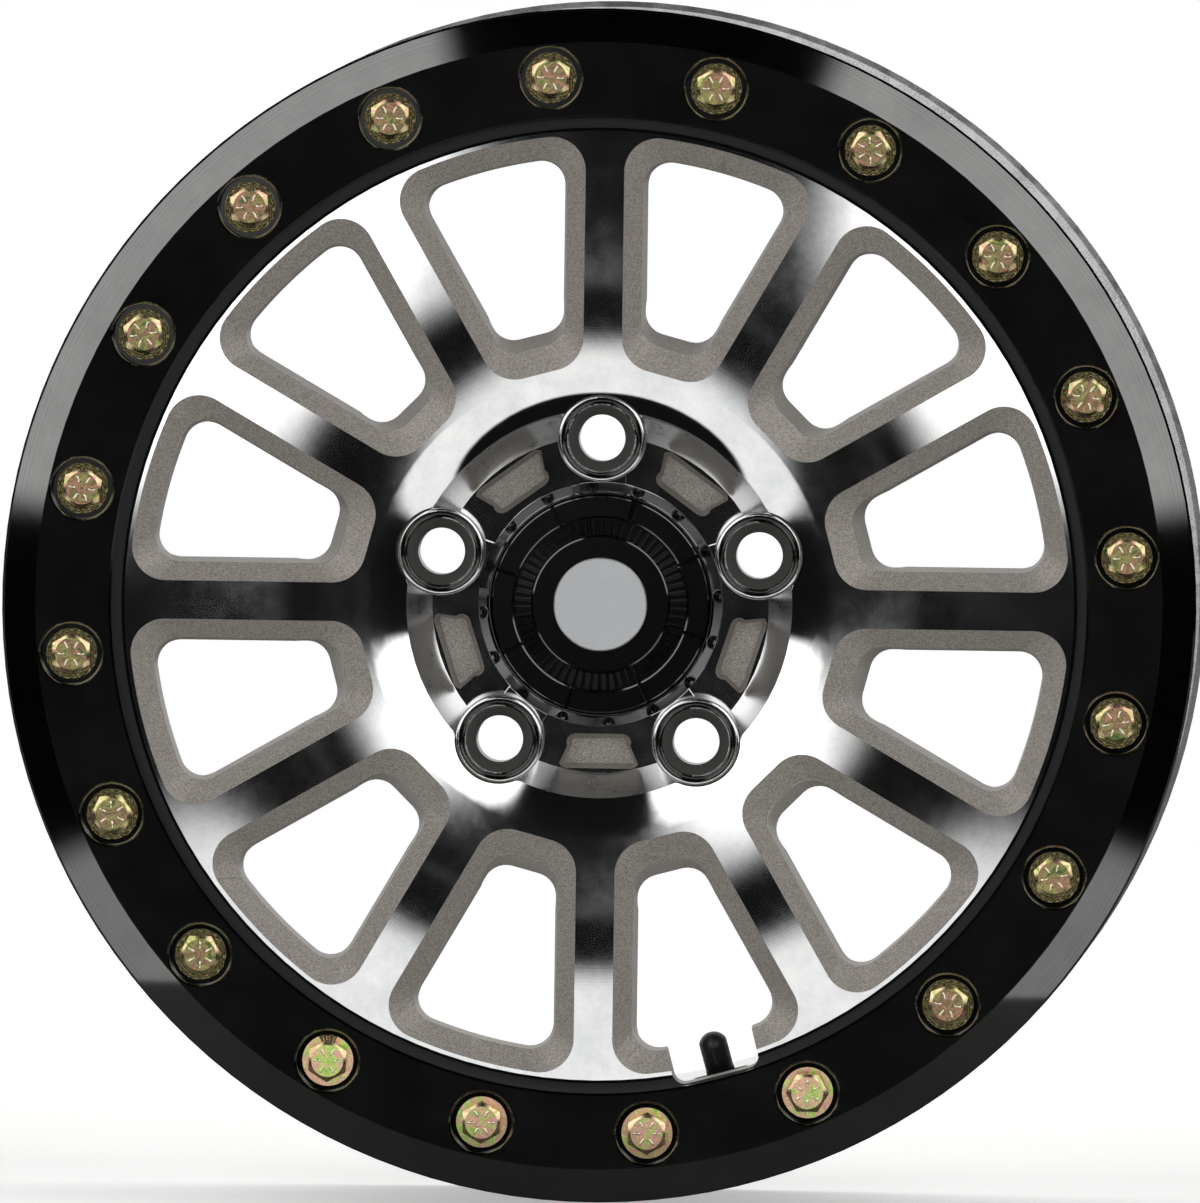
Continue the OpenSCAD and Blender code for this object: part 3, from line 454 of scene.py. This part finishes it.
def turned_lean(r):
    """How far the machined face's shading normal is made to lean away from the axle at radius r.

    The mesh is a plain cone. The lean makes it mirror the room as a slightly crowned face would.
    """
    crown = (max(r, SHOULDER_START) - CREST_R) / CROWN_R
    into_hub = max(0.0, SHOULDER_START - r)
    return crown * (1 - into_hub / (SHOULDER_START - MOUTH_R)) - into_hub / SHOULDER_R


def finish_casting(obj):
    """Gives each area of the casting its own finish, and turns the machined face's shading normals."""
    mesh = obj.data
    for finish in (face_metal, barrel_metal, seat_paint, wall_metal):
        mesh.materials.append(finish)
    face_slot, barrel_slot, seat_slot, wall_slot = 1, 2, 3, 4
    normals = [Vector(n.vector) for n in mesh.corner_normals]
    for face in mesh.polygons:
        corners = [mesh.vertices[i].co for i in face.vertices]
        radii = [math.hypot(c.x, c.z) for c in corners]
        low, high = min(radii), max(radii)
        deepest, axial = min(-c.y for c in corners), -face.normal.y
        on_face = low > SHOULDER_START - SLACK and high < FACE_R + SLACK and axial > FACE_SQUARE
        on_shoulder = low > MOUTH_R - SLACK and high < SHOULDER_START + SLACK and axial > SHOULDER_SQUARE
        if (on_face or on_shoulder) and deepest > SHOULDER_BACK:
            face.material_index = face_slot
            for loop, corner, r in zip(face.loop_indices, corners, radii):
                lean = turned_lean(r)
                outward = Vector((corner.x, 0, corner.z)) / r
                normals[loop] = outward * lean + Vector((0, -math.sqrt(1 - lean ** 2), 0))
        elif high < MOUTH_R + SLACK and deepest > RECESS_DEPTH - SLACK:
            face.material_index = face_slot if axial > FLAT_SQUARE else wall_slot
            if axial > FLAT_SQUARE:
                for loop in face.loop_indices:
                    normals[loop] = RECESS_NORMAL
        elif low > FACE_R - SLACK and deepest > SEAT_DEPTH - SLACK:
            face.material_index = seat_slot
        elif low > BARREL_R and max(-c.y for c in corners) < SHOULDER_BACK:
            face.material_index = barrel_slot
    mesh.normals_split_custom_set(normals)


def finish_ring(obj):
    """Shades the clamp ring's flat as if it were slightly hollow, so that all of it mirrors one spot."""
    mesh = obj.data
    normals = [Vector(n.vector) for n in mesh.corner_normals]
    for face in mesh.polygons:
        if face.normal.y < -FLAT_SQUARE and -face.center.y > RING_FRONT - SLACK:
            for loop, corner in zip(face.loop_indices, face.vertices):
                place = mesh.vertices[corner].co
                normals[loop] = Vector((-place.x * RING_DRAW, -1, -place.z * RING_DRAW)).normalized()
    mesh.normals_split_custom_set(normals)


def bolt_place(x, z):
    """Distance from the axis of the nearest ring bolt, the angle round it, and that bolt's number."""
    number = round((math.degrees(math.atan2(z, x)) - BOLT_FIRST) / BOLT_STEP) % len(HEAD_TURNS)
    angle = math.radians(BOLT_FIRST + number * BOLT_STEP)
    dx, dz = x - BOLT_CIRCLE_R * math.cos(angle), z - BOLT_CIRCLE_R * math.sin(angle)
    return math.hypot(dx, dz), math.atan2(dz, dx), number


def finish_washers(obj):
    """A UV map round each bolt's own axis. The lowest washers' tops are painted brighter as a painted
    highlight, with their normals leaned.
    """
    mesh = obj.data
    mesh.materials.append(low_highlight_zinc)
    normals = [Vector(n.vector) for n in mesh.corner_normals]
    for face in mesh.polygons:
        # painted highlight: the lowest washer tops take the brighter zinc
        if face.center.z < LOW_BOLTS and face.normal.y < -TOP_SQUARE:
            face.material_index = 1
            for loop in face.loop_indices:
                normals[loop] = LOW_NORMAL
    uv = mesh.uv_layers.new(name="round_the_bolt")
    for loop in mesh.loops:
        place = mesh.vertices[loop.vertex_index].co
        away, round_it, _ = bolt_place(place.x, place.z)
        uv.data[loop.index].uv = (away, round_it)
    mesh.normals_split_custom_set(normals)


def finish_heads(obj):
    """Forged tops on the bolt heads. The lowest ones are shaded with a slight lean, to catch the light, and
    take a brighter zinc as a painted highlight.
    """
    mesh = obj.data
    mesh.materials.append(forged_zinc)
    mesh.materials.append(low_highlight_zinc)
    normals = [Vector(n.vector) for n in mesh.corner_normals]
    for face in mesh.polygons:
        if face.normal.y > -TOP_SQUARE or -face.center.y < HEAD_FRONT - SLACK:
            continue
        low = face.center.z < LOW_BOLTS
        # painted highlight: the lowest bolt tops take the brighter zinc
        face.material_index = 2 if low else 1
        if low:
            for loop in face.loop_indices:
                normals[loop] = LOW_NORMAL
    mesh.normals_split_custom_set(normals)


def raise_head_marks():
    """The six short ribs on each bolt head that show the bolt's strength grade."""
    length, width, height, middle, rounding = 0.0026, 0.00072, 0.0005, 0.0034, 0.00018
    mesh = bpy.data.meshes.new("head_marks")
    marks = bpy.data.objects.new("head_marks", mesh)
    bpy.context.scene.collection.objects.link(marks)
    bm = bmesh.new()
    for number, turned in enumerate(HEAD_TURNS):
        angle = math.radians(BOLT_FIRST + number * BOLT_STEP)
        x, z = BOLT_CIRCLE_R * math.cos(angle), BOLT_CIRCLE_R * math.sin(angle)
        head = Matrix.Translation((x, -HEAD_FRONT, z))
        for k in range(6):
            aim = Matrix.Rotation(-math.radians(turned + 30 + 60 * k), 4, "Y")
            spoke = aim @ Matrix.Translation((middle, 0, 0))
            size = Matrix.Diagonal((length, height, width, 1))
            bmesh.ops.create_cube(bm, size=1.0, matrix=head @ spoke @ size)
    bmesh.ops.bevel(bm, geom=bm.edges[:], offset=rounding, segments=2, affect="EDGES", profile=0.5,
                    material=-1)
    for face in bm.faces:
        face.smooth = True
    bm.to_mesh(mesh)
    bm.free()
    mesh.materials.append(bright_zinc)
    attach(marks, "rim")


def finish_seat(obj, number):
    """A dull turned finish on the taper inside a lug seat, a darker steel in the cove round it as painted
    shade, and a UV map round the seat's own axis.
    """
    mesh = obj.data
    mesh.materials.append(seat_steel)
    mesh.materials.append(groove_shade_steel)
    angle = math.radians(90 + LUG_STEP * (number - 1))
    centre = Vector((LUG_CIRCLE_R * math.cos(angle), 0, LUG_CIRCLE_R * math.sin(angle)))
    uv = mesh.uv_layers.new(name="round_the_stud")
    for face in mesh.polygons:
        reach = []
        for loop in face.loop_indices:
            place = mesh.vertices[mesh.loops[loop].vertex_index].co - centre
            reach.append(math.hypot(place.x, place.z))
            uv.data[loop].uv = (reach[-1] - place.y, math.atan2(place.z, place.x))
        # The taper takes the turned seat finish; the cove round it takes the darker steel as painted shade.
        if max(reach) < SEAT_MOUTH_R + FINE_SLACK:
            face.material_index = 1
        elif min(reach) > SEAT_MOUTH_R and max(reach) < GROOVE_R:
            face.material_index = 2


finish_casting(welded("wheel", "casting", "rim", cast_paint, recut=recut_windows))
finish_ring(welded("beadlock_ring", "clamp_ring", "rim", ring_finish))
finish_washers(welded("beadlock_washers", "ring_washers", "rim", washer_zinc))
finish_heads(welded("beadlock_bolts", "ring_bolts", "rim", zinc_plate))
raise_head_marks()
for number in range(1, LUG_COUNT + 1):
    seat = welded(f"lug_insert_{number}", f"lug_seat_{number}", "rim", insert_steel)
    finish_seat(seat, number)
welded("cap_shell", "cap_body", "rim", gloss_plastic, broken_edge=0.0003)
welded("cap_face", "cap_front", "rim", satin_plastic, broken_edge=0.00028)
welded("cap_disc", "cap_badge", "rim", badge_silver)
welded("valve_rubber", "valve_body", "rim", rubber)
welded("valve_cap", "valve_cover", "valve_cap", nylon)
for node, finish in (("cap_spring_ring", spring_wire), ("valve_stem", brass), ("valve_core_body", brass),
                     ("valve_core_pin", brass), ("valve_core_spring", spring_wire),
                     ("valve_core_seal", rubber), ("valve_cap_seal", rubber)):
    nodes[node].data.materials.clear()
    nodes[node].data.materials.append(finish)


# Camera at the photograph's angle: long lens, a little to the right of the axle and above it,
# and rolled so that the wheel stands turned by the same small angle.
IMAGE_W, IMAGE_H = 1200, 1203
SCALE = 2930.0
DISTANCE = 8.0
AZIMUTH, ELEVATION, ROLL = math.radians(1.4), math.radians(1.2), math.radians(0.8)
RING_CENTRE_PX = (598.5, 606.0)
FRONT = Vector((0, -0.1, 0))

view_back = Vector((math.sin(AZIMUTH) * math.cos(ELEVATION), -math.cos(AZIMUTH) * math.cos(ELEVATION),
                    math.sin(ELEVATION)))
camera = bpy.data.objects.new("camera", bpy.data.cameras.new("camera"))
bpy.context.scene.collection.objects.link(camera)
bpy.context.scene.camera = camera
turn = (-view_back).to_track_quat("-Z", "Y").to_matrix() @ Matrix.Rotation(ROLL, 3, "Z")
across = turn @ Vector((1, 0, 0))
upward = turn @ Vector((0, 1, 0))
target = (FRONT + across * ((IMAGE_W / 2 - RING_CENTRE_PX[0]) / SCALE)
          - upward * ((IMAGE_H / 2 - RING_CENTRE_PX[1]) / SCALE))
camera.matrix_world = Matrix.Translation(target + view_back * DISTANCE) @ turn.to_4x4()
camera.data.sensor_width = 36.0
camera.data.lens = 36.0 * DISTANCE / (max(IMAGE_W, IMAGE_H) / SCALE)
camera.data.clip_start = 0.1
camera.data.clip_end = 100.0


def beyond(tree, flat, angle, degrees):
    """1 past a soft straight edge and 0 before it.

    The edge lies that many degrees out from the axle's direction, along the given angle.
    """
    edge, soft = math.sin(math.radians(degrees)), 0.026
    out = (math.cos(math.radians(angle)), 0, math.sin(math.radians(angle)))
    reach = add(tree, "VectorMath", {0: flat, 1: out}, operation="DOT_PRODUCT").outputs["Value"]
    return add(tree, "MapRange", {"Value": reach, "From Min": edge - soft, "From Max": edge + soft},
               interpolation_type="SMOOTHSTEP").outputs[0]


# A white cyclorama behind the wheel, and three soft panels in front: upper right, upper left and low.
# Between them the studio is dark, which is what the mirror-like face shows as black.
# Each panel is its strength and its two edges.
PANELS = ((1.7, (-20, 2.3), (98, 1.6)),
          (1.7, (195, 0.8), (82, 1.1)),
          (1.0, (295, 0.7), (248, 1.7), (270, 4.7), (90, -38)))
# How far back along the axle the panels fade out and the cyclorama fades in, and the dark room's level
PANEL_FADE, BACK_FADE, ROOM_LEVEL = (-0.33, -0.23), (0.0, 0.35), 0.006


def light_room():
    world = bpy.data.worlds.new("studio")
    bpy.context.scene.world = world
    world.use_nodes = True
    tree = world.node_tree
    tree.nodes.clear()
    way = add(tree, "TexCoord").outputs["Generated"]
    # the panels stand about the line on which the camera sees itself in the face
    middle = (math.sin(AZIMUTH), 0, math.sin(ELEVATION))
    flat = add(tree, "VectorMath", {0: way, 1: middle}, operation="ADD").outputs["Vector"]
    toward = add(tree, "SeparateXYZ", {"Vector": way}).outputs["Y"]
    front = add(tree, "MapRange", {"Value": toward, "From Min": PANEL_FADE[0], "From Max": PANEL_FADE[1],
                                   "To Min": 1.0, "To Max": 0.0}, interpolation_type="SMOOTHSTEP").outputs[0]
    total = add(tree, "MapRange", {"Value": toward, "From Min": BACK_FADE[0], "From Max": BACK_FADE[1],
                                   "To Min": ROOM_LEVEL, "To Max": 1.0},
                interpolation_type="SMOOTHSTEP").outputs[0]
    for strength, *edges in PANELS:
        part = add(tree, "Math", {0: front, 1: strength}, operation="MULTIPLY").outputs[0]
        for angle, degrees in edges:
            inside = beyond(tree, flat, angle, degrees)
            part = add(tree, "Math", {0: part, 1: inside}, operation="MULTIPLY").outputs[0]
        total = add(tree, "Math", {0: total, 1: part}, operation="ADD").outputs[0]
    seen = add(tree, "LightPath").outputs["Is Camera Ray"]
    strength = add(tree, "Mix", {"Factor": seen, "A": total, "B": 1.0}).outputs["Result"]
    background = add(tree, "Background", {"Color": (1, 1, 1, 1), "Strength": strength}).outputs["Background"]
    add(tree, "OutputWorld", {"Surface": background})


light_room()


# Pale floor that the wheel stands on. To the camera it is as white as the backdrop, and keeps the shadow.
# The metal mirrors it darker, and mirrors none of it in front of FLOOR_FRONT, where the low panel stands.
FLOOR_HALF, FLOOR_FRONT, FLOOR_GAP, FLOOR_GLOW = 4.0, 0.2, 0.0002, 0.35


def lay_floor():
    mesh = bpy.data.meshes.new("floor")
    floor = bpy.data.objects.new("floor", mesh)
    bpy.context.scene.collection.objects.link(floor)
    bm = bmesh.new()
    bmesh.ops.create_grid(bm, x_segments=1, y_segments=1, size=FLOOR_HALF)
    bmesh.ops.translate(bm, verts=bm.verts, vec=(0, 0, cad_box[0].z - FLOOR_GAP))
    bm.to_mesh(mesh)
    bm.free()
    made, tree, bsdf = shader("pale_floor")
    rays = add(tree, "LightPath").outputs
    tone = add(tree, "ValToRGB", {"Fac": rays["Is Glossy Ray"]})
    tone.color_ramp.elements[0].color = linear("#F0F0EE")
    tone.color_ramp.elements[1].color = linear("#6E6E6D")
    lift = add(tree, "Math", {0: rays["Is Camera Ray"], 1: FLOOR_GLOW}, operation="MULTIPLY").outputs[0]
    tree.links.new(tone.outputs["Color"], bsdf.inputs["Base Color"])
    tree.links.new(lift, bsdf.inputs["Emission Strength"])
    settle(bsdf, Roughness=0.8, Emission_Color=(1, 1, 1, 1))
    place = add(tree, "NewGeometry").outputs["Position"]
    depth = add(tree, "SeparateXYZ", {"Vector": place}).outputs["Y"]
    ahead = add(tree, "Math", {0: depth, 1: -FLOOR_FRONT}, operation="LESS_THAN").outputs[0]
    unseen = add(tree, "Math", {0: ahead, 1: rays["Is Glossy Ray"]}, operation="MULTIPLY").outputs[0]
    clear = add(tree, "BsdfTransparent").outputs["BSDF"]
    surface = add(tree, "MixShader", {0: unseen, 1: bsdf.outputs["BSDF"], 2: clear}).outputs["Shader"]
    tree.links.new(surface, tree.nodes["Material Output"].inputs["Surface"])
    mesh.materials.append(made)


lay_floor()

scene = bpy.context.scene
scene.view_settings.view_transform = "Standard"
